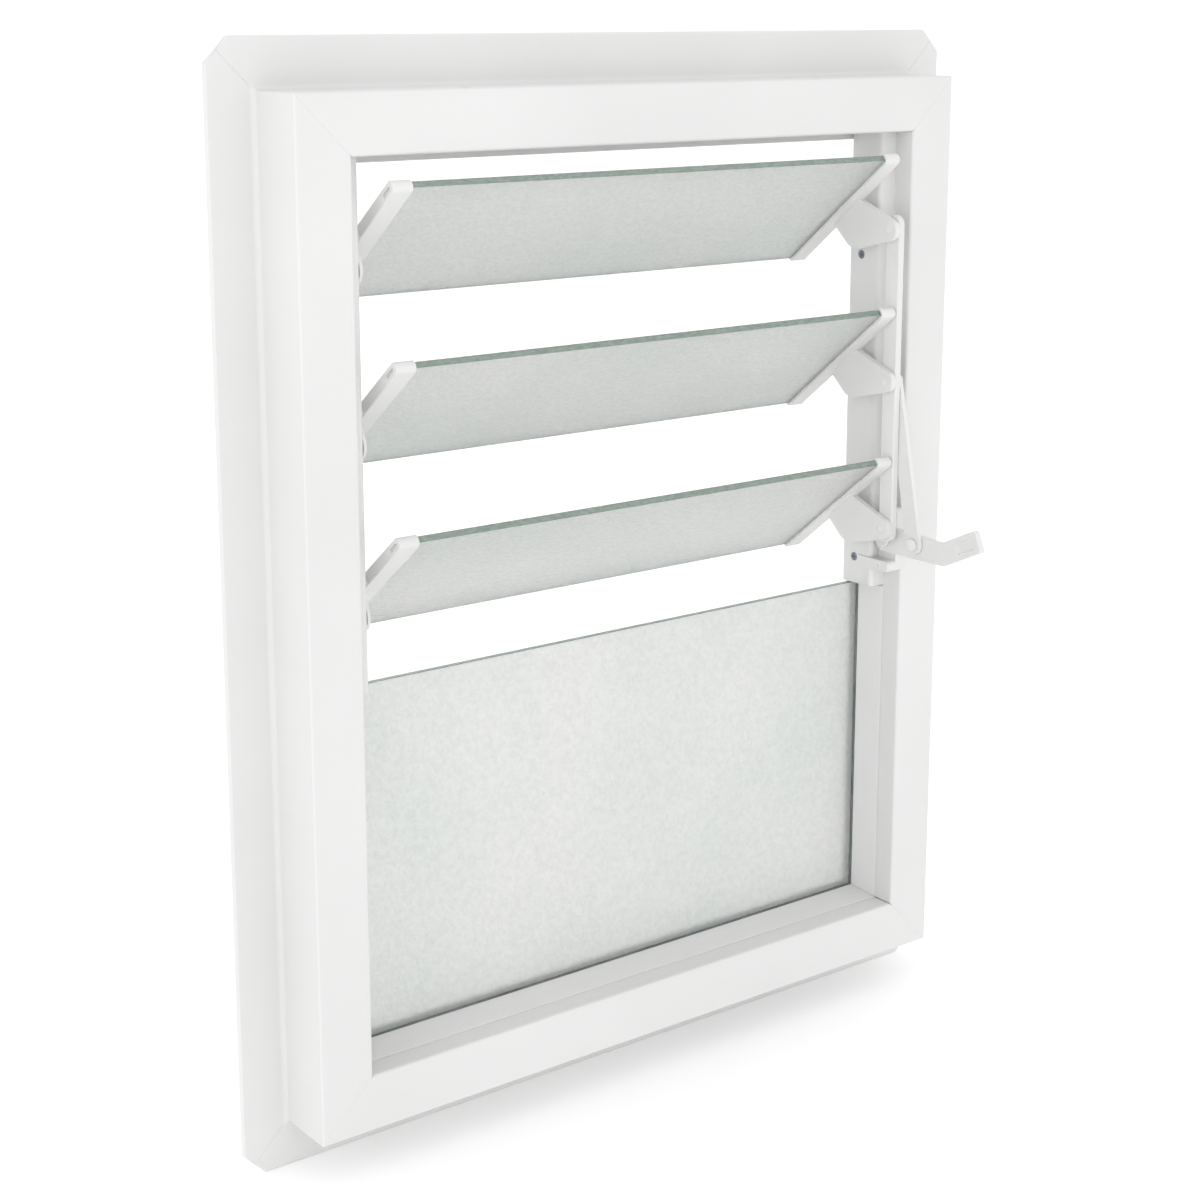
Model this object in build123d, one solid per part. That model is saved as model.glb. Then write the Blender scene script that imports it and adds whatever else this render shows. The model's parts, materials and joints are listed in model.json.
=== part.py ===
"""White louvre window: a mitred hollow frame with a wall flange, three tilting glass louvres over a
fixed pane, and a lever on the right jamb that turns all three louvres together.

Axes: +X to the right as seen from the room, +Y out through the wall, +Z up. Millimetres.
Origin: the middle of the window, on the front of the wall flange."""

from build123d import *
import math
import os

# Frame, over the flange and along its section
WIDTH = 500.0
HEIGHT = 600.0
FLANGE_REACH = 26.5
FLANGE_THICK = 3.0
FACE_WIDTH = 31.5
NECK_DEPTH = 38.5
CORNER_CLIP = 13.0
LIP_HEIGHT = 6.0
LIP_THICK = 2.2
WALL = 2.4
WEB_Y = -23.0
COVE_RADIUS = 3.0
MITRE_GROOVE = 0.9
FACE_ROUND = 1.6
EDGE_ROUND = 1.2
INNER_ROUND = 0.8
WEEP_SLOT = (24.0, 5.0)
WEEP_INSET = 12.0

# Louvres
LOUVRE_COUNT = 3
LOUVRE_PITCH = 90.0
TOP_PIVOT_Z = 184.0
PIVOT_Y = -14.5
REST_TILT = 38.5
BLADE_WIDTH = 102.0
BLADE_HALF_LENGTH = 170.0
GLASS_THICK = 4.0
BLADE_OFFSET = 15.5
GLASS_ARRIS = 0.5

# Louvre clips
CLIP_TIP = 1.2
CLIP_TAIL = 1.0
CLIP_LIP = 8.0
CLIP_SKIN = 1.4
CLIP_NOSE_RADIUS = 3.2
CLIP_TAIL_ROUND = 1.0
CLIP_EDGE_ROUND = 0.8
CLIP_EYELET = (8.0, 2.4)
CLIP_EYELET_INSET = 6.0
WEB_ROUND = 2.0
SET_OUT_ROOT_RADIUS = 8.5
WEB_MARGIN = 20.0
PLAIN_SPAN = 120.0
CHEEK_THICK = 3.7
GLASS_FIT = 0.1
END_GAP = 0.3
HUB_RADIUS = 11.5
SET_OUT_HUB_THICK = 1.8
BOSS_RADIUS = 7.0
PIVOT_PIN_RADIUS = 3.0
PIN_SOCKET = 1.5
PIN_CHAMFER = 0.5
RUNNING_CLEARANCE = 0.06

# Galleries
GALLERY_DEPTH = 12.0
GALLERY_FRONT_Y = -24.5
GALLERY_SKIN = 1.8
GALLERY_BOTTOM_Z = -35.5
GALLERY_TOP_GAP = 1.0
GALLERY_NOSE_ROUND = 3.0
GALLERY_FLOOR = 2.0
GALLERY_ROOT = 0.5
BEARING_BOSS_RADIUS = 7.5
BUSH_RADIUS = 5.0
BUSH_LENGTH = 7.0
GALLERY_SCREW_Z = (168.0, -19.0)
GALLERY_SCREW_Y = -9.8
SCREW_RADIUS = 1.9
SCREW_HEAD_RADIUS = 2.7
SCREW_HEAD_HEIGHT = 1.2
SCREW_POINT = 2.0
SCREW_POINT_RADIUS = 0.3
SCREW_CROSS = (1.4, 3.2, 0.7)
GALLERY_SCREW_BITE = 7.5
BRACKET_SCREW_BITE = 5.0

# Linkage: the arm of each louvre and the lever's crank are the same vector, so all stay parallel
ARM_REACH = 27.0
ARM_RISE = 1.5
ARM_EYE_RADIUS = 6.6
LINK_PIN_RADIUS = 2.4
LINK_CLEARANCE = 0.08
LINK_THICK = 4.0
LINK_WIDTH = 11.0
LINK_END = 8.5
LINK_CHAMFER = 0.5
STRUT_THICK = 2.6
STRUT_TOP_RADIUS = 4.6
STRUT_FOOT_RADIUS = 5.8
LEVER_THICK = 4.0
LEVER_HEIGHT = 13.5
LEVER_PIVOT_Y = -33.5
LEVER_PIVOT_Z = -3.5
LEVER_BEND = (-82.0, -4.5)
LEVER_TIP = (-104.0, 6.0)
LEVER_SLOT = (15.0, 7.0)
LEVER_SLOT_DEPTH = 0.8
LEVER_SLOT_INSET = 4.0
LEVER_ROOT_RADIUS = 8.0
LEVER_ROUND = 2.0
LEVER_PIN_HEAD = (5.0, 1.4)
LEVER_PIN_CHAMFER = 0.6
PIN_HEAD = 1.0
PIN_HEAD_LIP = 1.4
SIDE_GAP = 0.4
FOOT_FLANGE_THICK = 0.8
FOOT_FLANGE_Y = -14.0
FOOT_DROP = 13.5
FOOT_HEIGHT = 6.6
FOOT_ROUND = 2.0
BRACKET_FRONT = 6.0
BRACKET_RISE = 19.0
BRACKET_ROUND = 3.0
BRACKET_BACK_GAP = 0.2
BRACKET_SCREW_RISE = 13.5
BRACKET_SCREW_SETBACK = 2.0

# Fixed pane
PANE_TOP_Z = -37.0
PANE_FRONT_Y = -4.5
PANE_SIDE_GAP = 2.5
SETTING_BLOCK = 3.0
BEAD_FRONT_Y = -24.2
BEAD_HEIGHT = 4.2
FRONT_GASKET = 1.6
GASKET_PROUD = 0.6
REAR_GASKET_PROUD = 0.3
BEAD_TOE = 0.8
BEAD_SHOULDER = 1.5
STRIP_MASK = 40.0
PANE_ARRIS = 0.5
BLOCK_X = 110.0
BLOCK_HALF_LENGTH = 15.0

# Reinforcement
STEEL_GAP = 0.6
STEEL_SKIN = 1.5
STEEL_END_GAP = 4.0

# How far a cutting shape runs past the face it opens, and how deep the screw holes go
OVERCUT = 1.0
GALLERY_SCREW_HOLE = 8.0
BRACKET_SCREW_HOLE = 6.0
STEEL_SCREW_HOLE = 6.0

# Head fixing holes
FIXING_RADIUS = 2.75
FIXING_SPACING = 240.0
FIXING_Y = -30.5

# Worked out from the above
REVEAL_X = WIDTH / 2 - FLANGE_REACH - FACE_WIDTH
REVEAL_Z = HEIGHT / 2 - FLANGE_REACH - FACE_WIDTH
FRONT_Y = -NECK_DEPTH
REAR_Y = FLANGE_THICK
SECTION_REACH = FACE_WIDTH + FLANGE_REACH
GALLERY_X = REVEAL_X - GALLERY_DEPTH
CHEEK_X = BLADE_HALF_LENGTH + END_GAP
LINK_X = CHEEK_X + CHEEK_THICK + SIDE_GAP
STRUT_X = LINK_X + LINK_THICK + SIDE_GAP
LEVER_X = STRUT_X + STRUT_THICK + SIDE_GAP
BRACKET_X = LEVER_X + LEVER_THICK + SIDE_GAP
PIVOT_ZS = [TOP_PIVOT_Z - LOUVRE_PITCH * i for i in range(LOUVRE_COUNT)]
CRANK_PIN = (LEVER_PIVOT_Y - ARM_REACH, LEVER_PIVOT_Z + ARM_RISE)


def block(x0, x1, y0, y1, z0, z1):
    """A box between two opposite corners."""
    middle = ((x0 + x1) / 2, (y0 + y1) / 2, (z0 + z1) / 2)
    return Pos(*middle) * Box(x1 - x0, y1 - y0, z1 - z0)


def rod(x0, x1, y, z, radius):
    """A cylinder along X."""
    return Pos((x0 + x1) / 2, y, z) * Rot(0, 90, 0) * Cylinder(radius, x1 - x0)


def side_plate(sketch, x0, x1):
    """A sketch drawn in Y and Z, as a plate from x0 to x1."""
    return extrude(Plane.YZ.offset(x0) * sketch, x1 - x0)


def corner(sketch, x, y):
    """The sketch's vertex nearest a point."""
    return min(sketch.vertices(), key=lambda v: math.hypot(v.X - x, v.Y - y))


def bar(y0, z0, r0, y1, z1, r1):
    """Two circles and the straight flanks that touch both."""
    return make_hull((Pos(y0, z0) * Circle(r0)).edges() + (Pos(y1, z1) * Circle(r1)).edges())


def slab(points):
    """A thick slab from an outline drawn in X and Z, to cut pieces to their mitres."""
    outline = make_face(Polyline(*points, close=True))
    return extrude(Plane.XZ * outline, 2 * NECK_DEPTH, both=True)


def mirrored(shape):
    """The same shape at the other jamb."""
    return mirror(shape, about=Plane.YZ)


def frame_section():
    """The hollow section, with its reveal at x = 0 and the flange reaching out along x."""
    outline = [
        (0, FRONT_Y),
        (FACE_WIDTH, FRONT_Y),
        (FACE_WIDTH, 0),
        (SECTION_REACH, 0),
        (SECTION_REACH, REAR_Y),
        (-LIP_HEIGHT, REAR_Y),
        (-LIP_HEIGHT, REAR_Y - LIP_THICK),
        (0, REAR_Y - LIP_THICK),
    ]
    section = make_face(Polyline(*outline, close=True))
    roundings = [
        ((0, FRONT_Y), FACE_ROUND),
        ((FACE_WIDTH, FRONT_Y), EDGE_ROUND),
        ((FACE_WIDTH, 0), COVE_RADIUS),
        ((SECTION_REACH, 0), EDGE_ROUND),
        ((-LIP_HEIGHT, REAR_Y - LIP_THICK), INNER_ROUND),
    ]
    for (x, y), radius in roundings:
        section = fillet(corner(section, x, y), radius)
    for y0, y1 in ((FRONT_Y + WALL, WEB_Y - WALL / 2), (WEB_Y + WALL / 2, REAR_Y - WALL)):
        chamber = RectangleRounded(FACE_WIDTH - 2 * WALL, y1 - y0, INNER_ROUND)
        section -= Pos(FACE_WIDTH / 2, (y0 + y1) / 2) * chamber
    return section


def frame_member(reveal, other_reveal):
    """A member standing along Z with its reveal at x = reveal, mitred to meet its neighbours."""
    half = other_reveal + SECTION_REACH
    member = Pos(reveal, 0, -half) * extrude(frame_section(), 2 * half)
    inner = LIP_HEIGHT + 2 * OVERCUT
    outer = SECTION_REACH - CORNER_CLIP / 2
    upper = [
        (reveal - inner, other_reveal - inner),
        (reveal + outer, other_reveal + outer),
        (reveal + SECTION_REACH, half - CORNER_CLIP),
    ]
    lower = [(x, -z) for x, z in reversed(upper)]
    member &= slab(upper + lower)
    for side in (1, -1):
        for y, first, last in ((FRONT_Y, 0, FACE_WIDTH), (0, FACE_WIDTH, outer)):
            middle = (first + last) / 2
            groove = Box((last - first) * math.sqrt(2), MITRE_GROOVE, MITRE_GROOVE)
            groove = Rot(0, -45 * side, 0) * Rot(45, 0, 0) * groove
            member -= Pos(reveal + middle, y, side * (other_reveal + middle)) * groove
    return member


def turned_to_head(member):
    """A member built for the right jamb's side, turned to lie along the top."""
    return Rot(0, -90, 0) * member


def frame_members():
    jamb = frame_member(REVEAL_X, REVEAL_Z)
    for z in GALLERY_SCREW_Z:
        jamb -= rod(REVEAL_X - OVERCUT, REVEAL_X + GALLERY_SCREW_HOLE, GALLERY_SCREW_Y, z, SCREW_RADIUS)
    right = jamb
    for y, z in bracket_screw_places():
        right -= rod(REVEAL_X - OVERCUT, REVEAL_X + BRACKET_SCREW_HOLE, y, z, SCREW_RADIUS)
    rail = turned_to_head(frame_member(REVEAL_Z, REVEAL_X))
    head = rail
    for x in (-FIXING_SPACING / 2, FIXING_SPACING / 2):
        hole = Cylinder(FIXING_RADIUS, FACE_WIDTH + 4 * OVERCUT)
        head -= Pos(x, FIXING_Y, REVEAL_Z + FACE_WIDTH / 2) * hole
    sill = mirror(rail, about=Plane.XY)
    for x in (-FIXING_SPACING / 2, FIXING_SPACING / 2):
        slot = extrude(Plane.XZ * SlotOverall(*WEEP_SLOT), -WALL - 2 * OVERCUT)
        sill -= Pos(x, REAR_Y - WALL - OVERCUT, -REVEAL_Z - WEEP_INSET) * slot
    return {
        "frame_head": head,
        "frame_sill": sill,
        "frame_jamb_right": right,
        "frame_jamb_left": mirrored(jamb),
    }


def reinforcement():
    """The steel tube in the right jamb's rear chamber."""
    x0, x1 = REVEAL_X + WALL + STEEL_GAP, REVEAL_X + FACE_WIDTH - WALL - STEEL_GAP
    y0, y1 = WEB_Y + WALL / 2 + STEEL_GAP, REAR_Y - WALL - STEEL_GAP
    half = REVEAL_Z - STEEL_END_GAP
    tube = block(x0, x1, y0, y1, -half, half)
    bore = half + OVERCUT
    skin = STEEL_SKIN
    tube -= block(x0 + skin, x1 - skin, y0 + skin, y1 - skin, -bore, bore)
    for z in GALLERY_SCREW_Z:
        tube -= rod(x0 - OVERCUT, x0 + STEEL_SCREW_HOLE, GALLERY_SCREW_Y, z, SCREW_RADIUS)
    return tube


def gallery():
    """The right gallery: a channel with its back to the room's middle, and bosses inside."""
    top = REVEAL_Z - GALLERY_TOP_GAP
    outer = make_face(
        Polyline(
            (GALLERY_X, GALLERY_FRONT_Y),
            (REVEAL_X, GALLERY_FRONT_Y),
            (REVEAL_X, 0),
            (GALLERY_X, 0),
            close=True,
        )
    )
    outer = fillet(corner(outer, GALLERY_X, GALLERY_FRONT_Y), GALLERY_NOSE_ROUND)
    outer = fillet(corner(outer, GALLERY_X, 0), EDGE_ROUND)
    inner_width = -GALLERY_FRONT_Y - 2 * GALLERY_SKIN
    inner = Rectangle(GALLERY_DEPTH, inner_width)
    inner = Pos(GALLERY_X + GALLERY_SKIN + GALLERY_DEPTH / 2, GALLERY_FRONT_Y / 2) * inner
    body = Pos(0, 0, GALLERY_BOTTOM_Z) * extrude(outer - inner, top - GALLERY_BOTTOM_Z)
    floor = GALLERY_BOTTOM_Z + GALLERY_FLOOR
    y0, y1 = GALLERY_FRONT_Y + OVERCUT, -OVERCUT
    body += block(GALLERY_X, REVEAL_X, y0, y1, GALLERY_BOTTOM_Z, floor)
    for z in PIVOT_ZS:
        boss_end = GALLERY_X + BUSH_LENGTH + GALLERY_FLOOR
        body += rod(GALLERY_X + GALLERY_ROOT, boss_end, PIVOT_Y, z, BEARING_BOSS_RADIUS)
        body -= rod(GALLERY_X - OVERCUT, GALLERY_X + BUSH_LENGTH, PIVOT_Y, z, BUSH_RADIUS)
    for z in GALLERY_SCREW_Z:
        body += rod(GALLERY_X + GALLERY_ROOT, REVEAL_X, GALLERY_SCREW_Y, z, SCREW_HEAD_RADIUS + 1)
        body -= rod(GALLERY_X - OVERCUT, REVEAL_X + OVERCUT, GALLERY_SCREW_Y, z, SCREW_RADIUS)
        sunk = GALLERY_X + SCREW_HEAD_HEIGHT
        body -= rod(GALLERY_X - OVERCUT, sunk, GALLERY_SCREW_Y, z, SCREW_HEAD_RADIUS)
    return body


def bushes():
    """The right gallery's pivot bushes, one for each louvre."""
    made = []
    for z in PIVOT_ZS:
        bush = rod(GALLERY_X, GALLERY_X + BUSH_LENGTH, PIVOT_Y, z, BUSH_RADIUS)
        bush -= rod(GALLERY_X - OVERCUT, REVEAL_X, PIVOT_Y, z, PIVOT_PIN_RADIUS + RUNNING_CLEARANCE)
        made.append(bush)
    return made


def screw(head_x, tip_x, y, z):
    """A pan screw along X, its cross slot cut in the head."""
    neck_x = head_x + SCREW_HEAD_HEIGHT
    body = rod(head_x, neck_x, y, z, SCREW_HEAD_RADIUS)
    body += rod(neck_x, tip_x - SCREW_POINT, y, z, SCREW_RADIUS)
    point = Rot(0, 90, 0) * Cone(SCREW_RADIUS, SCREW_POINT_RADIUS, SCREW_POINT)
    body += Pos(tip_x - SCREW_POINT / 2, y, z) * point
    for turn in (0, 90):
        body -= Pos(head_x, y, z) * Rot(turn, 0, 0) * Box(*SCREW_CROSS)
    return body


def gallery_screws():
    tip_x = REVEAL_X + GALLERY_SCREW_BITE
    return [screw(GALLERY_X, tip_x, GALLERY_SCREW_Y, z) for z in GALLERY_SCREW_Z]


def bead_section():
    """The glazing bead: it rises from the reveal towards the pane."""
    back = PANE_FRONT_Y - FRONT_GASKET
    points = [
        (0, BEAD_FRONT_Y),
        (-BEAD_TOE, BEAD_FRONT_Y),
        (-BEAD_HEIGHT, back - BEAD_SHOULDER),
        (-BEAD_HEIGHT, back),
        (0, back),
    ]
    return make_face(Polyline(*points, close=True))


def strip_section(y0, y1, height):
    """A flat strip that stands off the reveal."""
    return Pos(-height / 2, (y0 + y1) / 2) * Rectangle(height, y1 - y0)


def corner_mask(along_side):
    """The half of the lower right corner that the side strip takes, or the bottom strip's whole run."""
    far = STRIP_MASK
    if along_side:
        points = [
            (REVEAL_X - far, -REVEAL_Z + far),
            (REVEAL_X, -REVEAL_Z),
            (REVEAL_X, PANE_TOP_Z),
            (REVEAL_X - far, PANE_TOP_Z),
        ]
    else:
        points = [
            (-REVEAL_X, -REVEAL_Z),
            (REVEAL_X, -REVEAL_Z),
            (REVEAL_X - far, -REVEAL_Z + far),
            (-REVEAL_X + far, -REVEAL_Z + far),
        ]
    return slab(points)


def side_strip(section):
    """A strip of the given section up the right reveal, mitred at its foot."""
    run = Pos(REVEAL_X, 0, -REVEAL_Z) * extrude(section, PANE_TOP_Z + REVEAL_Z)
    return run & corner_mask(True)


def bottom_strip(section):
    """A strip of the given section along the sill, mitred at both ends."""
    run = Pos(REVEAL_Z, 0, -REVEAL_X) * extrude(section, 2 * REVEAL_X)
    run = mirror(turned_to_head(run), about=Plane.XY)
    return run & corner_mask(False)


def fixed_pane():
    half = REVEAL_X - PANE_SIDE_GAP
    bottom = -REVEAL_Z + SETTING_BLOCK
    pane = block(-half, half, PANE_FRONT_Y, PANE_FRONT_Y + GLASS_THICK, bottom, PANE_TOP_Z)
    return chamfer(pane.edges().filter_by(Axis.X).group_by(Axis.Z)[-1], PANE_ARRIS)


def setting_blocks():
    made = []
    y1 = PANE_FRONT_Y + GLASS_THICK
    top = -REVEAL_Z + SETTING_BLOCK
    for x in (-BLOCK_X, BLOCK_X):
        x0, x1 = x - BLOCK_HALF_LENGTH, x + BLOCK_HALF_LENGTH
        made.append(block(x0, x1, PANE_FRONT_Y, y1, -REVEAL_Z, top))
    return made


def at_rest(shape, pivot_z):
    """A louvre piece drawn flat about its pivot, tilted and set at its place."""
    return Pos(0, PIVOT_Y, pivot_z) * Rot(-REST_TILT, 0, 0) * shape


def arm_pin_local():
    """The link pin's place in a louvre's own flat drawing."""
    tilt = math.radians(REST_TILT)
    y = -ARM_REACH * math.cos(tilt) - ARM_RISE * math.sin(tilt)
    z = -ARM_REACH * math.sin(tilt) + ARM_RISE * math.cos(tilt)
    return y, z


def blade():
    half = BLADE_WIDTH / 2
    low = BLADE_OFFSET - GLASS_THICK / 2
    glass = block(-BLADE_HALF_LENGTH, BLADE_HALF_LENGTH, -half, half, low, low + GLASS_THICK)
    return chamfer(glass.edges().filter_by(Axis.X), GLASS_ARRIS)


def clip_channel():
    """The right clip's channel: a round-nosed bar along the glass edge, slotted for the glass."""
    half = BLADE_WIDTH / 2
    slot_low = BLADE_OFFSET - GLASS_THICK / 2 - GLASS_FIT
    slot_high = BLADE_OFFSET + GLASS_THICK / 2 + GLASS_FIT
    low, high = slot_low - CLIP_SKIN, slot_high + CLIP_SKIN
    length = BLADE_WIDTH + CLIP_TIP + CLIP_TAIL
    profile = Rectangle(length, high - low)
    profile = fillet(profile.vertices().group_by(Axis.X)[0], CLIP_NOSE_RADIUS)
    profile = fillet(profile.vertices().group_by(Axis.X)[-1], CLIP_TAIL_ROUND)
    profile = Pos((CLIP_TAIL - CLIP_TIP) / 2, (low + high) / 2) * profile
    body = side_plate(profile, CHEEK_X - CLIP_LIP, CHEEK_X + CHEEK_THICK)
    body = fillet(body.edges().group_by(Axis.X)[-1], CLIP_EDGE_ROUND)
    body -= block(0, CHEEK_X, -half - GLASS_FIT, half + GLASS_FIT, slot_low, slot_high)
    eyelet = Pos(CLIP_EYELET_INSET - half, BLADE_OFFSET) * SlotOverall(*CLIP_EYELET)
    cheek_out = CHEEK_X + CHEEK_THICK
    body -= side_plate(eyelet, cheek_out - PIN_SOCKET, cheek_out + OVERCUT)
    return body, low


def clip_with_arm():
    """The right end clip: a channel over the glass, a cheek with the hub, and the arm for the link."""
    body, low = clip_channel()
    cheek_out = CHEEK_X + CHEEK_THICK
    y, z = arm_pin_local()
    hub, eye = Circle(HUB_RADIUS), Pos(y, z) * Circle(ARM_EYE_RADIUS)
    root = Pos(y / 2, low) * Circle(WEB_ROUND)
    heel = Pos(HUB_RADIUS, low) * Circle(WEB_ROUND)
    plan = make_hull(hub.edges() + eye.edges() + root.edges() + heel.edges())
    top = low + OVERCUT / 2
    plan &= Pos(0, top / 2 - WEB_MARGIN) * Rectangle(PLAIN_SPAN, top + 2 * WEB_MARGIN)
    body += side_plate(plan, CHEEK_X, cheek_out)
    body -= rod(CHEEK_X - OVERCUT, cheek_out + OVERCUT, y, z, LINK_PIN_RADIUS)
    body += rod(CHEEK_X, GALLERY_X - SIDE_GAP, 0, 0, BOSS_RADIUS)
    body -= rod(CHEEK_X + PIN_SOCKET, GALLERY_X, 0, 0, PIVOT_PIN_RADIUS)
    return body


def clip_set_out():
    """The plain end clip, drawn on the right: its hub stands out from the channel, close to the gallery."""
    body, low = clip_channel()
    hub_out = GALLERY_X - SIDE_GAP
    hub_in = hub_out - SET_OUT_HUB_THICK
    high = low + GLASS_THICK + 2 * (GLASS_FIT + CLIP_SKIN)
    cheek = bar(0, 0, SET_OUT_ROOT_RADIUS, 0, low + OVERCUT, HUB_RADIUS)
    cheek &= Pos(0, high / 2 - WEB_MARGIN) * Rectangle(PLAIN_SPAN, high + 2 * WEB_MARGIN)
    body += side_plate(cheek, hub_in, hub_out)
    half = HUB_RADIUS - OVERCUT
    z0, z1 = low + CLIP_EDGE_ROUND, high - CLIP_EDGE_ROUND
    body += block(CHEEK_X + OVERCUT, hub_out, -half, half, z0, z1)
    body -= rod(hub_in, GALLERY_X, 0, 0, PIVOT_PIN_RADIUS)
    return body


def pivot_pin(start):
    end = GALLERY_X + BUSH_LENGTH - PIN_CHAMFER
    pin = rod(start, end, 0, 0, PIVOT_PIN_RADIUS)
    return chamfer(pin.edges().sort_by(Axis.X)[-1], PIN_CHAMFER)


def rivet(flush_x, head_x, y, z, radius):
    """A pin along X, flush at its inner end, with a low head outside head_x."""
    body = rod(flush_x, head_x + PIN_HEAD, y, z, radius)
    return body + rod(head_x, head_x + PIN_HEAD, y, z, radius + PIN_HEAD_LIP)


def louvres():
    """Each louvre's pieces: its glass, two clips, two pivot pins and the pin that joins it to the link."""
    made = {}
    left_clip = mirrored(clip_set_out())
    right_clip = clip_with_arm()
    right_pin = pivot_pin(CHEEK_X + PIN_SOCKET)
    left_pin = mirrored(pivot_pin(GALLERY_X - SIDE_GAP - SET_OUT_HUB_THICK))
    y, z = arm_pin_local()
    for i, pivot_z in enumerate(PIVOT_ZS):
        carries_strut = i == 1
        outer_x = (STRUT_X + STRUT_THICK if carries_strut else LINK_X + LINK_THICK) + SIDE_GAP / 2
        name = f"louvre_{i + 1}"
        made[f"{name}_glass"] = at_rest(blade(), pivot_z)
        made[f"{name}_clip_left"] = at_rest(left_clip, pivot_z)
        made[f"{name}_clip_right"] = at_rest(right_clip, pivot_z)
        made[f"{name}_pivot_pins"] = [at_rest(right_pin, pivot_z), at_rest(left_pin, pivot_z)]
        pin = rivet(CHEEK_X, outer_x, y, z, LINK_PIN_RADIUS)
        made[f"{name}_link_pin"] = at_rest(pin, pivot_z)
    return made


def link_pin_places():
    return [(PIVOT_Y - ARM_REACH, z + ARM_RISE) for z in PIVOT_ZS]


def link_bar():
    """The upright bar that joins the three arms."""
    places = link_pin_places()
    y = places[0][0]
    length = places[0][1] - places[-1][1] + 2 * LINK_END
    plan = Rot(0, 0, 90) * SlotOverall(length, LINK_WIDTH)
    plan = Pos(y, (places[0][1] + places[-1][1]) / 2) * plan
    body = side_plate(plan, LINK_X, LINK_X + LINK_THICK)
    body = chamfer(body.edges().group_by(Axis.X)[0], LINK_CHAMFER)
    x0, x1 = LINK_X - OVERCUT, LINK_X + LINK_THICK + OVERCUT
    for py, pz in places:
        body -= rod(x0, x1, py, pz, LINK_PIN_RADIUS + LINK_CLEARANCE)
    return body


def drive_link():
    """The slim strut from the middle arm's pin down to the lever's crank pin."""
    top_y, top_z = link_pin_places()[1]
    foot_y, foot_z = CRANK_PIN
    plan = bar(top_y, top_z, STRUT_TOP_RADIUS, foot_y, foot_z, STRUT_FOOT_RADIUS)
    body = side_plate(plan, STRUT_X, STRUT_X + STRUT_THICK)
    x0, x1 = STRUT_X - OVERCUT, STRUT_X + STRUT_THICK + OVERCUT
    for y, z in ((top_y, top_z), (foot_y, foot_z)):
        body -= rod(x0, x1, y, z, LINK_PIN_RADIUS + LINK_CLEARANCE)
    return body


def lever():
    """The handle: a flat lever that runs out from its pivot and turns up to a square-ended thumb plate."""
    pivot = (LEVER_PIVOT_Y, LEVER_PIVOT_Z)
    half = LEVER_HEIGHT / 2
    run = math.dist(LEVER_BEND, LEVER_TIP)
    angle = math.degrees(math.atan2(LEVER_TIP[1] - LEVER_BEND[1], LEVER_TIP[0] - LEVER_BEND[0]))
    end = RectangleRounded(2 * half, 2 * half, LEVER_ROUND)
    plan = bar(*pivot, LEVER_ROOT_RADIUS, *LEVER_BEND, half)
    plan += Pos(*LEVER_BEND) * Rot(0, 0, angle) * Pos(run / 2, 0) * Rectangle(run, 2 * half)
    plan += Pos(*LEVER_TIP) * Rot(0, 0, angle) * end
    body = side_plate(plan, LEVER_X, LEVER_X + LEVER_THICK)
    middle = Pos(*LEVER_BEND) * Rot(0, 0, angle) * Pos(run - LEVER_SLOT_INSET, 0)
    dish = middle * RectangleRounded(*LEVER_SLOT, LEVER_ROUND)
    body -= side_plate(dish, LEVER_X - OVERCUT, LEVER_X + LEVER_SLOT_DEPTH)
    body -= rod(LEVER_X - OVERCUT, BRACKET_X, *pivot, PIVOT_PIN_RADIUS + RUNNING_CLEARANCE)
    body -= rod(LEVER_X - OVERCUT, BRACKET_X, *CRANK_PIN, LINK_PIN_RADIUS)
    return body


def crank_pin():
    y, z = CRANK_PIN
    pin = rod(STRUT_X - SIDE_GAP - PIN_HEAD, LEVER_X + LEVER_THICK, y, z, LINK_PIN_RADIUS)
    return pin + rod(STRUT_X - SIDE_GAP - PIN_HEAD, STRUT_X - SIDE_GAP, y, z, LINK_PIN_RADIUS + PIN_HEAD_LIP)


def lever_pin():
    """The lever's pivot, fixed in the bracket, with a head on the lever's inner side."""
    y, z = LEVER_PIVOT_Y, LEVER_PIVOT_Z
    head_radius, head_height = LEVER_PIN_HEAD
    seat_x = LEVER_X - SIDE_GAP
    pin = rod(seat_x, REVEAL_X - PIN_SOCKET, y, z, PIVOT_PIN_RADIUS)
    head = rod(seat_x - head_height, seat_x, y, z, head_radius)
    return pin + chamfer(head.edges().sort_by(Axis.X)[0], LEVER_PIN_CHAMFER)


def bracket_screw_places():
    y = LEVER_PIVOT_Y + BRACKET_SCREW_SETBACK
    return [(y, LEVER_PIVOT_Z + BRACKET_SCREW_RISE), (y, LEVER_PIVOT_Z - FOOT_DROP - FOOT_HEIGHT / 2)]


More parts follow.
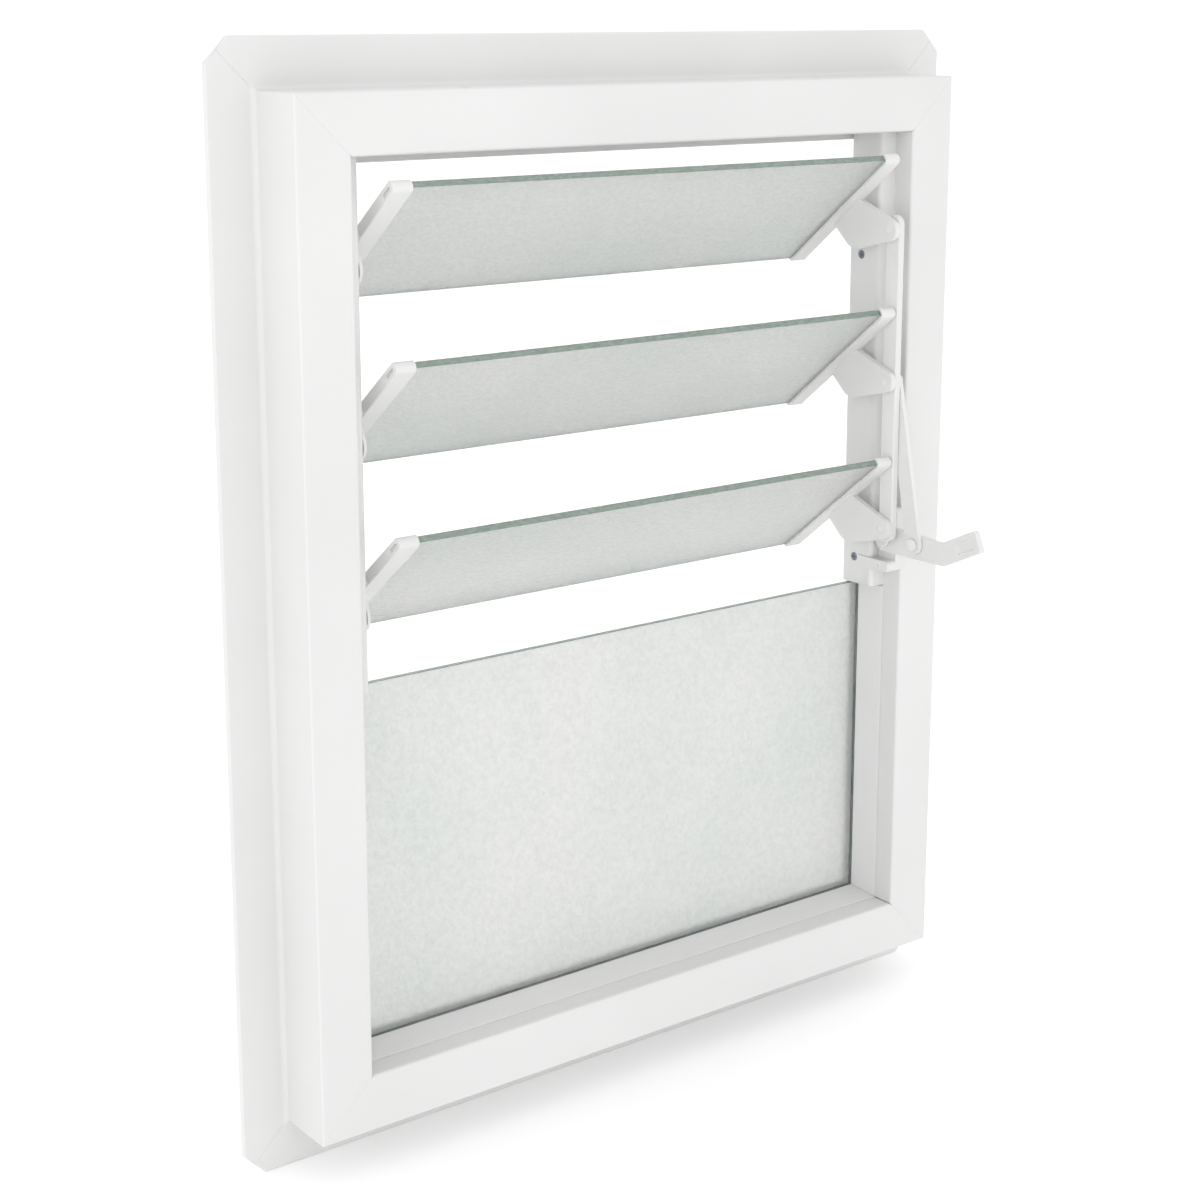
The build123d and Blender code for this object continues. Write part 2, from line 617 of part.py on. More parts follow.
def handle_bracket():
    """The plate on the jamb that carries the lever, its foot lapped over the gallery's side."""
    y0, y1 = LEVER_PIVOT_Y - BRACKET_FRONT, GALLERY_FRONT_Y - BRACKET_BACK_GAP
    top = LEVER_PIVOT_Z + BRACKET_RISE
    foot_top = LEVER_PIVOT_Z - FOOT_DROP
    bottom = foot_top - FOOT_HEIGHT
    plan = RectangleRounded(y1 - y0, top - bottom, BRACKET_ROUND)
    plan = Pos((y0 + y1) / 2, (top + bottom) / 2) * plan
    body = side_plate(plan, BRACKET_X, REVEAL_X)
    foot_in = GALLERY_X - FOOT_FLANGE_THICK
    foot = block(foot_in, REVEAL_X, y0, y1, bottom, foot_top)
    foot = fillet(foot.edges().filter_by(Axis.X).group_by(Axis.Y)[0], FOOT_ROUND)
    foot += block(foot_in, GALLERY_X, y1, FOOT_FLANGE_Y, bottom, foot_top)
    body += foot
    x0, x1 = BRACKET_X - OVERCUT, REVEAL_X - PIN_SOCKET
    body -= rod(x0, x1, LEVER_PIVOT_Y, LEVER_PIVOT_Z, PIVOT_PIN_RADIUS)
    for (y, z), face in zip(bracket_screw_places(), (BRACKET_X, foot_in)):
        body -= rod(face - OVERCUT, REVEAL_X + OVERCUT, y, z, SCREW_RADIUS)
        body -= rod(face - OVERCUT, face + SCREW_HEAD_HEIGHT, y, z, SCREW_HEAD_RADIUS)
    return body


def bracket_screws():
    faces = (BRACKET_X, GALLERY_X - FOOT_FLANGE_THICK)
    tip_x = REVEAL_X + BRACKET_SCREW_BITE
    return [screw(face, tip_x, y, z) for (y, z), face in zip(bracket_screw_places(), faces)]


def pieces():
    """Every node's name and its solid, or its list of solids."""
    made = frame_members()
    tube = reinforcement()
    made["reinforcement_right"] = tube
    made["reinforcement_left"] = mirrored(tube)
    made["gallery_right"] = gallery()
    made["gallery_left"] = mirrored(gallery())
    made["gallery_bushes_right"] = bushes()
    made["gallery_bushes_left"] = [mirrored(b) for b in bushes()]
    made["gallery_screws_right"] = gallery_screws()
    made["gallery_screws_left"] = [mirrored(s) for s in gallery_screws()]
    made["fixed_pane"] = fixed_pane()
    made["setting_blocks"] = setting_blocks()
    gasket_front = PANE_FRONT_Y - FRONT_GASKET
    pane_back = PANE_FRONT_Y + GLASS_THICK
    strips = {
        "glazing_bead": bead_section(),
        "front_gasket": strip_section(gasket_front, PANE_FRONT_Y, BEAD_HEIGHT + GASKET_PROUD),
        "rear_gasket": strip_section(pane_back, REAR_Y - LIP_THICK, LIP_HEIGHT + REAR_GASKET_PROUD),
    }
    for name, section in strips.items():
        made[f"{name}_right"] = side_strip(section)
        made[f"{name}_left"] = mirrored(side_strip(section))
        made[f"{name}_bottom"] = bottom_strip(section)
    made.update(louvres())
    made["link_bar"] = link_bar()
    made["drive_link"] = drive_link()
    made["handle_lever"] = lever()
    made["handle_crank_pin"] = crank_pin()
    made["handle_pivot_pin"] = lever_pin()
    made["handle_bracket"] = handle_bracket()
    made["handle_bracket_screws"] = bracket_screws()
    return made


def main():
    os.makedirs("parts", exist_ok=True)
    for name, shape in pieces().items():
        solids = shape if isinstance(shape, list) else [shape]
        solids = [solid for item in solids for solid in item.solids()]
        export_step(Compound(children=solids) if len(solids) > 1 else solids[0], f"parts/{name}.step")


main()
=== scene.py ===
"""Looks of the louvre window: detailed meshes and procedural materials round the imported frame.

Lengths are metres. X runs to the right as seen from the room, Y out through the wall, Z up."""

import json
import math

import bmesh
import bpy
from mathutils import Matrix, Vector, noise


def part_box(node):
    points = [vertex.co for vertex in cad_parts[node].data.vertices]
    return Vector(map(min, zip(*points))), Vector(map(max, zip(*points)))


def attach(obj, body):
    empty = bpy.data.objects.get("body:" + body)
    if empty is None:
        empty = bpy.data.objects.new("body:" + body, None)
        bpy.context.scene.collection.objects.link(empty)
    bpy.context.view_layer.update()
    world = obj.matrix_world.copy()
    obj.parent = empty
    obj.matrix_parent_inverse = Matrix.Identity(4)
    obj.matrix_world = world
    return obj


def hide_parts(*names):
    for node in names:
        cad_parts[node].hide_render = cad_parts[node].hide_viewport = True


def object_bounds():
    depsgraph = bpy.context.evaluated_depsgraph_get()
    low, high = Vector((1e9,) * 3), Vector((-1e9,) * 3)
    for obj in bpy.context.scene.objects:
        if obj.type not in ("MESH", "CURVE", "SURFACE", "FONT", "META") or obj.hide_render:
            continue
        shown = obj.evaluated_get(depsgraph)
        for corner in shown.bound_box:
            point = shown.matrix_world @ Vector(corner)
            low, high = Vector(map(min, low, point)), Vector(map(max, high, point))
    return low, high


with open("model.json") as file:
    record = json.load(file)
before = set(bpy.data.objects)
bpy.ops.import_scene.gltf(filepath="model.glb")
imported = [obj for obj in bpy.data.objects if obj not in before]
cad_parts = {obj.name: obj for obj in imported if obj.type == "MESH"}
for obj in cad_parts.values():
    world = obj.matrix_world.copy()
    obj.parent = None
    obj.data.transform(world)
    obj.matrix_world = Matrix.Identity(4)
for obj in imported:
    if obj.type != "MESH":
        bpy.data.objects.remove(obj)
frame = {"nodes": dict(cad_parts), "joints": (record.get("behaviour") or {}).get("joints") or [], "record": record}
CAD_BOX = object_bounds()
MM = 0.001

# Camera
CAMERA_PLACE = (-0.765, -0.983, 0.313)
CAMERA_YAW = math.radians(37.5)
CAMERA_PITCH = math.radians(-12.2)
CAMERA_LENS = 67.2
CAMERA_SHIFT = -0.09
SENSOR_WIDTH = 36

# A colour Mix node's sockets, which share their names with its other modes
MIX_FACTOR, MIX_FIRST, MIX_SECOND = 0, 6, 7
MIX_RESULT = 2

# How deep each surface's relief is
PLASTIC_DRIFT_RELIEF = 0.0004
PLASTIC_SKIN_RELIEF = 0.00002
GLASS_DIMPLE_RELIEF = 0.0006
GLASS_GRAIN_RELIEF = 0.0002
GLASS_EDGE_RELIEF = 0.00005
RUBBER_RELIEF = 0.00004
STEEL_RELIEF = 0.00001

# Tones, from the darker end of each material's drift to the paler
UPVC_TONES = ((0.715, 0.715, 0.711), (0.748, 0.748, 0.744))
NYLON_TONES = ((0.71, 0.71, 0.70), (0.75, 0.75, 0.742))
GLASS_TONES = ((0.84, 0.862, 0.846), (0.89, 0.893, 0.884))
SPECKLE_TONES = ((0.87, 0.88, 0.87), (1.0, 1.0, 1.0))
GLASS_EDGE_TONES = ((0.21, 0.285, 0.245), (0.31, 0.365, 0.325))
RUBBER_TONES = ((0.12, 0.135, 0.13), (0.19, 0.205, 0.2))
ZINC_TONES = ((0.16, 0.18, 0.22), (0.27, 0.29, 0.33))
PAINTED_TONES = ((0.74, 0.74, 0.73), (0.80, 0.80, 0.79))
FLOOR_TONES = ((0.93, 0.93, 0.93), (0.95, 0.95, 0.95))


def joint_place(name):
    """Where a joint's axis stands, in the row frame."""
    return Vector(next(j["pos_m"] for j in frame["joints"] if j["name"] == name))


# ---------------------------------------------------------------- materials


def material(name, **values):
    """A new material's node tree and its Principled shader, with plain values set on its sockets."""
    made = bpy.data.materials.new(name)
    made.use_nodes = True
    shader = made.node_tree.nodes["Principled BSDF"]
    for socket, value in values.items():
        shader.inputs[socket.replace("_", " ")].default_value = value
    return made, made.node_tree, shader


def object_point(tree, scale=(1, 1, 1)):
    """Object coordinates, stretched."""
    place = tree.nodes.new("ShaderNodeTexCoord")
    mapping = tree.nodes.new("ShaderNodeMapping")
    mapping.inputs["Scale"].default_value = scale
    tree.links.new(place.outputs["Object"], mapping.inputs["Vector"])
    return mapping.outputs["Vector"]


def noise_of(tree, point, scale, detail=3.0, roughness=0.5):
    """Noise between 0 and 1 at a point, the scale in cells per metre."""
    made = tree.nodes.new("ShaderNodeTexNoise")
    made.inputs["Scale"].default_value = scale
    made.inputs["Detail"].default_value = detail
    made.inputs["Roughness"].default_value = roughness
    tree.links.new(point, made.inputs["Vector"])
    return made.outputs["Fac"]


def ramp(tree, source, low, high, at=(0.35, 0.65)):
    """The source number as a colour between low and high."""
    made = tree.nodes.new("ShaderNodeValToRGB")
    stops = made.color_ramp.elements
    for stop, position, colour in zip(stops, at, (low, high)):
        stop.position = position
        stop.color = (*colour, 1)
    tree.links.new(source, made.inputs["Fac"])
    return made.outputs["Color"]


def span(tree, source, low, high):
    """The source, from 0 to 1, mapped to low to high."""
    made = tree.nodes.new("ShaderNodeMapRange")
    made.inputs["To Min"].default_value = low
    made.inputs["To Max"].default_value = high
    tree.links.new(source, made.inputs["Value"])
    return made.outputs["Result"]


def bump(tree, shader, sources):
    """Bumps in a chain, each a height source with its depth in metres."""
    normal = None
    for source, depth in sources:
        made = tree.nodes.new("ShaderNodeBump")
        made.inputs["Distance"].default_value = depth
        tree.links.new(source, made.inputs["Height"])
        if normal is not None:
            tree.links.new(normal, made.inputs["Normal"])
        normal = made.outputs["Normal"]
    tree.links.new(normal, shader.inputs["Normal"])


def plastic(name, tones, grain, roughness=(0.42, 0.54)):
    """White plastic: faint tone drift and a fine skin."""
    made, tree, shader = material(name, Specular_IOR_Level=0.4)
    soft = noise_of(tree, object_point(tree), scale=6.0, detail=2.0)
    fine = noise_of(tree, object_point(tree), scale=grain, detail=4.0, roughness=0.6)
    tree.links.new(ramp(tree, soft, *tones), shader.inputs["Base Color"])
    tree.links.new(span(tree, fine, *roughness), shader.inputs["Roughness"])
    bump(tree, shader, [(soft, PLASTIC_DRIFT_RELIEF), (fine, PLASTIC_SKIN_RELIEF)])
    return made


def obscure_glass():
    """Stippled glass: pale, with a milky body that blurs all behind it."""
    made, tree, shader = material(
        "obscure_glass", IOR=1.5, Transmission_Weight=0.62, Specular_IOR_Level=0.5
    )
    cloud = noise_of(tree, object_point(tree), scale=9.0, detail=2.0)
    grain = noise_of(tree, object_point(tree), scale=900.0, detail=2.0, roughness=0.7)
    dimple = noise_of(tree, object_point(tree), scale=420.0, detail=1.0)
    speckle = noise_of(tree, object_point(tree), scale=330.0, detail=3.0, roughness=0.75)
    pale = ramp(tree, cloud, *GLASS_TONES)
    shade = ramp(tree, speckle, *SPECKLE_TONES, at=(0.3, 0.62))
    mix = tree.nodes.new("ShaderNodeMix")
    mix.data_type = "RGBA"
    mix.blend_type = "MULTIPLY"
    mix.inputs[MIX_FACTOR].default_value = 1.0
    tree.links.new(pale, mix.inputs[MIX_FIRST])
    tree.links.new(shade, mix.inputs[MIX_SECOND])
    tree.links.new(mix.outputs[MIX_RESULT], shader.inputs["Base Color"])
    tree.links.new(span(tree, grain, 0.35, 0.6), shader.inputs["Roughness"])
    bump(tree, shader, [(dimple, GLASS_DIMPLE_RELIEF), (grain, GLASS_GRAIN_RELIEF)])
    return made


def glass_edge():
    """The cut edge of the glass, deep green."""
    made, tree, shader = material(
        "glass_edge", IOR=1.5, Transmission_Weight=0.25, Specular_IOR_Level=0.5
    )
    streak = noise_of(tree, object_point(tree, (0.4, 1, 1)), scale=700.0, detail=3.0)
    tree.links.new(ramp(tree, streak, *GLASS_EDGE_TONES), shader.inputs["Base Color"])
    tree.links.new(span(tree, streak, 0.12, 0.3), shader.inputs["Roughness"])
    bump(tree, shader, [(streak, GLASS_EDGE_RELIEF)])
    return made


def rubber():
    """Dull dark seal rubber, dusty in patches."""
    made, tree, shader = material("gasket_rubber", Specular_IOR_Level=0.3)
    grain = noise_of(tree, object_point(tree), scale=1500.0, detail=2.0)
    dust = noise_of(tree, object_point(tree), scale=60.0, detail=4.0)
    tree.links.new(ramp(tree, dust, *RUBBER_TONES), shader.inputs["Base Color"])
    tree.links.new(span(tree, grain, 0.55, 0.8), shader.inputs["Roughness"])
    bump(tree, shader, [(grain, RUBBER_RELIEF)])
    return made


def steel(name, tones, metallic, roughness):
    """Plated or painted steel: a clouded tone and fine scratches along X."""
    made, tree, shader = material(name, Metallic=metallic)
    cloud = noise_of(tree, object_point(tree), scale=90.0, detail=4.0)
    scratch = noise_of(tree, object_point(tree, (0.1, 1, 1)), scale=2500.0, detail=2.0)
    tree.links.new(ramp(tree, cloud, *tones), shader.inputs["Base Color"])
    tree.links.new(span(tree, scratch, *roughness), shader.inputs["Roughness"])
    bump(tree, shader, [(scratch, STEEL_RELIEF)])
    return made


WHITE = plastic("white_upvc", UPVC_TONES, grain=500.0)
NYLON = plastic("white_nylon", NYLON_TONES, grain=1400.0, roughness=(0.35, 0.5))
GLASS = obscure_glass()
EDGE = glass_edge()
RUBBER = rubber()
ZINC = steel("zinc_steel", ZINC_TONES, metallic=1.0, roughness=(0.25, 0.45))
PAINTED = steel("white_steel", PAINTED_TONES, metallic=0.0, roughness=(0.3, 0.4))
BY_SLOT = {
    "white_upvc": WHITE,
    "white_nylon": NYLON,
    "obscure_glass": GLASS,
    "gasket_rubber": RUBBER,
    "zinc_steel": ZINC,
    "white_steel": PAINTED,
}

# ---------------------------------------------------------------- mesh tools

BODIES = frame["record"]["behaviour"]["bodies"]
NODE_BODY = {node: body for body, nodes in BODIES.items() for node in nodes}
NODE_SLOT = {row["node"]: row["material_slot"] for row in frame["record"]["subparts"]}
WELD_DISTANCE = 1e-6
ARC_STEP = math.radians(9)
FEWEST_CHORDS = 2
FLAT_ANGLE = math.radians(0.5)
SHARP_ANGLE = math.radians(25)
BEVEL_SEGMENTS = 3
SHALLOWEST_INSET = 0.3
BORE_SIDES = 40


def piece(name, bm, node, *materials):
    """A shown piece from a bmesh: it stands for a CAD node and rides on that node's body."""
    bmesh.ops.recalc_face_normals(bm, faces=bm.faces)
    mesh = bpy.data.meshes.new(name)
    bm.to_mesh(mesh)
    bm.free()
    mesh.shade_smooth()
    made = bpy.data.objects.new(name, mesh)
    bpy.context.scene.collection.objects.link(made)
    for finish in materials or [BY_SLOT[NODE_SLOT[node]]]:
        mesh.materials.append(finish)
    normals = made.modifiers.new("flat_faces_stay_flat", "WEIGHTED_NORMAL")
    normals.weight = 100
    normals.thresh = 0.01
    normals.keep_sharp = True
    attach(made, NODE_BODY[node])
    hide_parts(node)
    return made


def softened(node, width):
    """A node's solid as a new bmesh: whole flat faces, and a small radius on each sharp edge."""
    bm = bmesh.new()
    bm.from_mesh(frame["nodes"][node].data)
    bmesh.ops.remove_doubles(bm, verts=bm.verts, dist=WELD_DISTANCE)
    bmesh.ops.dissolve_limit(bm, angle_limit=FLAT_ANGLE, verts=bm.verts, edges=bm.edges)
    shared = [e for e in bm.edges if len(e.link_faces) == 2]
    bmesh.ops.bevel(
        bm,
        geom=[e for e in shared if e.calc_face_angle() > SHARP_ANGLE],
        offset=width,
        segments=BEVEL_SEGMENTS,
        profile=0.5,
        affect="EDGES",
        clamp_overlap=True,
    )
    return bm


def rounded(corners):
    """A closed outline from corners (x, y, radius), each radius drawn as an arc of short chords."""
    points = []
    count = len(corners)
    for i, (x, y, radius) in enumerate(corners):
        here = Vector((x, y))
        before = (Vector(corners[i - 1][:2]) - here).normalized()
        after = (Vector(corners[(i + 1) % count][:2]) - here).normalized()
        if radius == 0:
            points.append(here)
            continue
        half = before.angle(after) / 2
        centre = here + (before + after).normalized() * radius / math.sin(half)
        start = here + before * radius / math.tan(half) - centre
        end = here + after * radius / math.tan(half) - centre
        turn = math.atan2(start.cross(end), start.dot(end))
        steps = max(FEWEST_CHORDS, math.ceil(abs(turn) / ARC_STEP))
        for k in range(steps + 1):
            angle = turn * k / steps
            swung = (
                start.x * math.cos(angle) - start.y * math.sin(angle),
                start.x * math.sin(angle) + start.y * math.cos(angle),
            )
            points.append(centre + Vector(swung))
    return points


def inset(points, depth):
    """An outline, drawn anticlockwise or clockwise, moved inwards by a small depth."""
    count = len(points)
    area = sum(points[i - 1].cross(points[i]) for i in range(count))
    side = 1 if area > 0 else -1
    moved = []
    for i, here in enumerate(points):
        before = (here - points[i - 1]).normalized()
        after = (points[(i + 1) % count] - here).normalized()
        normal = Vector((-before.y - after.y, before.x + after.x)) * side
        normal.normalize()
        spread = max(SHALLOWEST_INSET, normal.dot(Vector((-before.y, before.x)) * side))
        moved.append(here + normal * depth / spread)
    return moved


def loft(rings):
    """A closed solid skinned over rings of points, with a flat cap on each end."""
    bm = bmesh.new()
    rows = [[bm.verts.new(p) for p in ring] for ring in rings]
    count = len(rings[0])
    for row, following in zip(rows, rows[1:]):
        for i in range(count):
            k = (i + 1) % count
            bm.faces.new((row[i], row[k], following[k], following[i]))
    bm.faces.new(reversed(rows[0]))
    bm.faces.new(rows[-1])
    return bm


def cut(piece_object, cutters):
    """Cut meshes out of a piece, and leave neither cutter nor modifier behind."""
    for bm in cutters:
        bmesh.ops.recalc_face_normals(bm, faces=bm.faces)
        mesh = bpy.data.meshes.new("cutter")
        bm.to_mesh(mesh)
        bm.free()
        cutter = bpy.data.objects.new("cutter", mesh)
        bpy.context.scene.collection.objects.link(cutter)
        modifier = piece_object.modifiers.new("cut", "BOOLEAN")
        modifier.operation = "DIFFERENCE"
        modifier.solver = "EXACT"
        modifier.object = cutter
        with bpy.context.temp_override(object=piece_object):
            bpy.ops.object.modifier_move_to_index(modifier=modifier.name, index=0)
            bpy.ops.object.modifier_apply(modifier=modifier.name)
        bpy.data.objects.remove(cutter)
        bpy.data.meshes.remove(mesh)


def bore(start, end, radius):
    """A round cutter between two points."""
    axis = (Vector(end) - Vector(start)).normalized()
    turn = axis.to_track_quat("Z", "Y")
    circle = [2 * math.pi * k / BORE_SIDES for k in range(BORE_SIDES)]
    ring = [turn @ Vector((radius * math.cos(a), radius * math.sin(a), 0)) for a in circle]
    return loft([[Vector(end_point) + p for p in ring] for end_point in (start, end)])


# ---------------------------------------------------------------- frame members

FACE_WIDTH = 31.5 * MM
SECTION_REACH = 58.0 * MM
FLANGE_THICK = 3.0 * MM
NECK_DEPTH = 38.5 * MM
LIP_HEIGHT = 6.0 * MM
LIP_THICK = 2.2 * MM
CLIP_KINK = 51.5 * MM
OUTER_X = CAD_BOX[1][0]
OUTER_Z = CAD_BOX[1][2]
REVEAL_X = OUTER_X - SECTION_REACH
REVEAL_Z = OUTER_Z - SECTION_REACH

# The groove at each mitre: how deep it is, in millimetres, and how far back from the joint
WELD_RINGS = ((0.42, 0.0), (0.29, 0.12), (0.13, 0.35), (0.04, 0.7), (0.0, 1.2))
# On the face towards the room the groove is only this share as deep
RING_WELD = 0.5
ROOM_SIDE = -0.5 * NECK_DEPTH

FIXING_SPACING = 240 * MM
FIXING_Y = -30.5 * MM
FIXING_RADIUS = 2.75 * MM
WEEP_INSET = 12 * MM
WEEP_HALF_LONG = 12 * MM
WEEP_HALF_HIGH = 2.5 * MM
WEEP_ROUND = 2.4 * MM
WEEP_DEPTH = 6 * MM
QUARTERS = ((1, 1), (-1, 1), (-1, -1), (1, -1))


def member_outline():
    """The section, as reach from the reveal and depth through the wall."""
    rear, front = FLANGE_THICK, -NECK_DEPTH
    lip = rear - LIP_THICK
    return rounded(
        [
            (0, front, 1.6 * MM),
            (FACE_WIDTH, front, 1.3 * MM),
            (FACE_WIDTH, 0, 3.0 * MM),
            (CLIP_KINK, 0, 0),
            (SECTION_REACH, 0, 1.2 * MM),
            (SECTION_REACH, rear, 0.5 * MM),
            (CLIP_KINK, rear, 0),
            (-LIP_HEIGHT, rear, 0.5 * MM),
            (-LIP_HEIGHT, lip, 0.8 * MM),
            (0, lip, 0.4 * MM),
        ]
    )


def end_reach(reach):
    """How far past the other reveal a mitre runs at a reach, with the flange's corner clipped."""
    return min(reach, 2 * CLIP_KINK - reach)


def frame_member(node, place, length_half):
    """A mitred member lofted along its run; place turns (reach, depth, along) into a point."""
    outline = member_outline()
    kinks = [i for i, p in enumerate(outline) if abs(p.x - CLIP_KINK) < WELD_DISTANCE]
    first = []
    for depth, back in WELD_RINGS:
        ring = []
        for full, small in zip(outline, inset(outline, depth * MM)):
            sunk = full.lerp(small, RING_WELD if full.y < ROOM_SIDE else 1.0)
            ring.append((sunk.x, sunk.y, length_half + end_reach(full.x) - back * MM))
        first.append(ring)
    rings = first + [[(r, y, -along) for r, y, along in ring] for ring in reversed(first)]
    bm = loft([[Vector(place(*point)) for point in ring] for ring in rings])
    bm.verts.ensure_lookup_table()
    last_ring = len(outline) * (len(rings) - 1)
    for start in (0, last_ring):
        ends = [bm.verts[start + i] for i in kinks]
        cap = max(set(ends[0].link_faces) & set(ends[1].link_faces), key=lambda f: len(f.verts))
        clipped, _ = bmesh.utils.face_split(cap, *ends)
        for edge in set(cap.edges) | set(clipped.edges):
            edge.smooth = False
    return piece(f"{node}_welded", bm, node)


frame_member("frame_jamb_right", lambda r, y, along: (REVEAL_X + r, y, along), REVEAL_Z)
frame_member("frame_jamb_left", lambda r, y, along: (-REVEAL_X - r, y, along), REVEAL_Z)
head = frame_member("frame_head", lambda r, y, along: (along, y, REVEAL_Z + r), REVEAL_X)
sill = frame_member("frame_sill", lambda r, y, along: (along, y, -REVEAL_Z - r), REVEAL_X)


def weep_slot(x):
    """A drain slot's cutter in the back of the sill."""
    z = -REVEAL_Z - WEEP_INSET
    outline = rounded([(sx * WEEP_HALF_LONG, sz * WEEP_HALF_HIGH, WEEP_ROUND) for sx, sz in QUARTERS])
    depths = (FLANGE_THICK + MM, FLANGE_THICK - WEEP_DEPTH)
    return loft([[Vector((x + p.x, y, z + p.y)) for p in outline] for y in depths])


for side in (-1, 1):
    x = side * FIXING_SPACING / 2
    hole_top = REVEAL_Z + FACE_WIDTH + MM
    cut(head, [bore((x, FIXING_Y, REVEAL_Z - MM), (x, FIXING_Y, hole_top), FIXING_RADIUS)])
    cut(sill, [weep_slot(x)])


# ---------------------------------------------------------------- glass

REST_TILT = math.radians(38.5)
BLADE_LENGTH = 340 * MM
BLADE_WIDTH = 102 * MM
BLADE_OFFSET = 15.5 * MM
GLASS_THICK = 4 * MM
GROUND = 0.6 * MM
STIPPLE_CELL = 2.0 * MM
STIPPLE_DEPTH = 0.05 * MM
STIPPLE_GRAIN = 330.0
UNDER_FACE = -0.99
EDGE_SLOPE = math.cos(math.radians(40))
BLADE_SEED = 10.0
PANE_SEED = 50.0


def flat_glass(length, width):
    """A flat sheet of glass about the origin, its edges ground round and its faces split into a fine grid for
    stippling.
    """
    top = GLASS_THICK / 2
    rows = round(width / STIPPLE_CELL)
    columns = round(length / STIPPLE_CELL)
    ground = rounded(
        [(s * width / 2, t * top, GROUND) for s, t in ((1, -1), (1, 1), (-1, 1), (-1, -1))]
    )
    inner = width / 2 - GROUND
    run = [inner - 2 * inner * k / rows for k in range(1, rows)]
    split = len(ground) // 4
    outline = ground[: 2 * split] + [Vector((y, top)) for y in run]
    outline += ground[2 * split :] + [Vector((-y, -top)) for y in run]
    rings = []
    shallow = 0.3 * GROUND
    for depth, back in ((GROUND, 0.0), (shallow, shallow)):
        rings.append((inset(outline, depth), -length / 2 + back))
    reach = length / 2 - GROUND
    rings += [(outline, -reach + 2 * reach * k / columns) for k in range(columns + 1)]
    for depth, back in ((shallow, shallow), (GROUND, 0.0)):
        rings.append((inset(outline, depth), length / 2 - back))
    bm = loft([[Vector((x, p.x, p.y)) for p in ring] for ring, x in rings])
    bmesh.ops.recalc_face_normals(bm, faces=bm.faces)
    for face in bm.faces:
        if abs(face.normal.z) < EDGE_SLOPE:
            face.material_index = 1
    return bm


def stippled(bm, seed):
    """Raises the under face into low, close bumps."""
    for vert in bm.verts:
        if vert.normal.z < UNDER_FACE:
            lift = noise.noise(vert.co * STIPPLE_GRAIN + Vector((seed, 0, 0)))
            vert.co.z += (0.5 + 0.5 * lift) * STIPPLE_DEPTH


def glass_pieces():
    """The three blades, each tilted about its own pivot, and the upright pane."""
    for i in (1, 2, 3):
        bm = flat_glass(BLADE_LENGTH, BLADE_WIDTH)
        stippled(bm, BLADE_SEED * i)
        pivot = joint_place(f"louvre_{i}_tilt")
        rest = Matrix.Translation((0, pivot.y, pivot.z)) @ Matrix.Rotation(-REST_TILT, 4, "X")
        bm.transform(rest @ Matrix.Translation((0, 0, BLADE_OFFSET)))
        piece(f"louvre_{i}_glass_blade", bm, f"louvre_{i}_glass", GLASS, EDGE)
    low, high = (Vector(c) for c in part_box("fixed_pane"))
    bm = flat_glass(high.x - low.x, high.z - low.z)
    stippled(bm, PANE_SEED)
    bm.transform(Matrix.Translation((low + high) / 2) @ Matrix.Rotation(math.radians(90), 4, "X"))
    piece("fixed_pane_glass", bm, "fixed_pane", GLASS, EDGE)


glass_pieces()


# ---------------------------------------------------------------- hardware, beads and seals

# The softened edge's width, in millimetres, by a word in the node's name
EDGE_RADII = {
    "gallery": 0.5,
    "clip": 0.45,
    "bracket": 0.5,
    "lever": 0.7,
    "link_bar": 0.4,
    "drive_link": 0.4,
    "bead": 0.4,
    "gasket": 0.55,
    "screws": 0.18,
    "pin": 0.3,
    "bushes": 0.3,
    "reinforcement": 0.4,
    "blocks": 0.3,
}


def edge_radius(node):
    """The width that EDGE_RADII gives a node, in metres."""
    return next(radius for word, radius in EDGE_RADII.items() if word in node) * MM


for node in NODE_BODY:
    if not node.startswith("frame_") and node != "fixed_pane" and not node.endswith("_glass"):
        piece(f"{node}_finished", softened(node, edge_radius(node)), node)


# ---------------------------------------------------------------- stage

FLOOR_SIZE = 60.0
FLOOR_GLOW = 0.15
SKY_STRENGTH = 1.06

# Each lamp's name, place, size and power in watts
LAMPS = (
    ("key", (-1.0, -2.4, 0.2), 2.0, 2.5),
    ("left", (-2.4, -0.7, 0.5), 1.8, 6.0),
    ("low", (-0.4, -1.8, -0.2), 1.0, 1.5),
    ("back", (0.6, 2.4, 1.6), 2.0, 5.0),
)


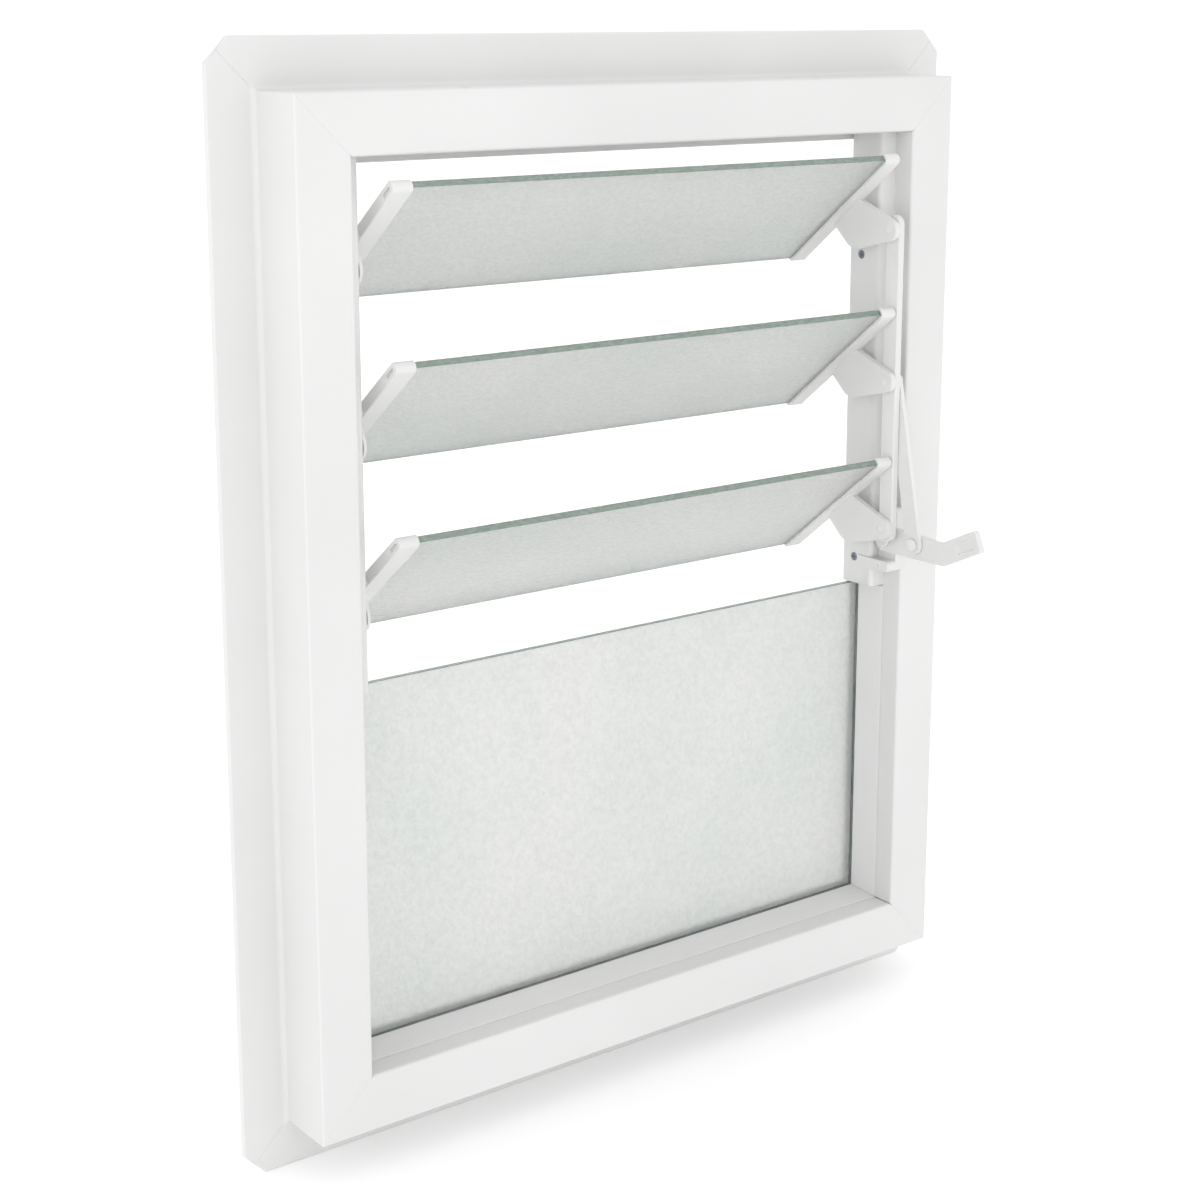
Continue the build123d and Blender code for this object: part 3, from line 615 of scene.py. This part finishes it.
def stage():
    """A pale floor that the window stands on, soft lights and the camera."""
    floor_z = CAD_BOX[0].z
    mesh = bpy.data.meshes.new("floor")
    half = FLOOR_SIZE / 2
    corners = [(sx * half, sy * half, floor_z) for sx, sy in ((-1, -1), (1, -1), (1, 1), (-1, 1))]
    mesh.from_pydata(corners, [], [(0, 1, 2, 3)])
    floor = bpy.data.objects.new("floor", mesh)
    bpy.context.scene.collection.objects.link(floor)
    pale, tree, shader = material(
        "pale_floor",
        Roughness=0.9,
        Specular_IOR_Level=0.1,
        Emission_Color=(1, 1, 1, 1),
        Emission_Strength=FLOOR_GLOW,
    )
    drift = noise_of(tree, object_point(tree), scale=1.5)
    tree.links.new(ramp(tree, drift, *FLOOR_TONES), shader.inputs["Base Color"])
    mesh.materials.append(pale)

    world = bpy.data.worlds.new("studio")
    world.use_nodes = True
    world.node_tree.nodes["Background"].inputs["Color"].default_value = (1, 1, 1, 1)
    world.node_tree.nodes["Background"].inputs["Strength"].default_value = SKY_STRENGTH
    bpy.context.scene.world = world

    for name, place, size, power in LAMPS:
        data = bpy.data.lights.new(name, "AREA")
        data.size = size
        data.energy = power
        lamp = bpy.data.objects.new(name, data)
        lamp.location = place
        lamp.rotation_mode = "QUATERNION"
        lamp.rotation_quaternion = (-Vector(place)).to_track_quat("-Z", "Y")
        bpy.context.scene.collection.objects.link(lamp)

    data = bpy.data.cameras.new("camera")
    data.sensor_width = SENSOR_WIDTH
    data.lens = CAMERA_LENS
    data.shift_y = CAMERA_SHIFT
    camera = bpy.data.objects.new("camera", data)
    camera.location = CAMERA_PLACE
    level = math.cos(CAMERA_PITCH)
    across, along = math.sin(CAMERA_YAW) * level, math.cos(CAMERA_YAW) * level
    ahead = Vector((across, along, math.sin(CAMERA_PITCH)))
    camera.rotation_mode = "QUATERNION"
    camera.rotation_quaternion = ahead.to_track_quat("-Z", "Y")
    bpy.context.scene.collection.objects.link(camera)
    bpy.context.scene.camera = camera
    bpy.context.scene.view_settings.view_transform = "Standard"


stage()
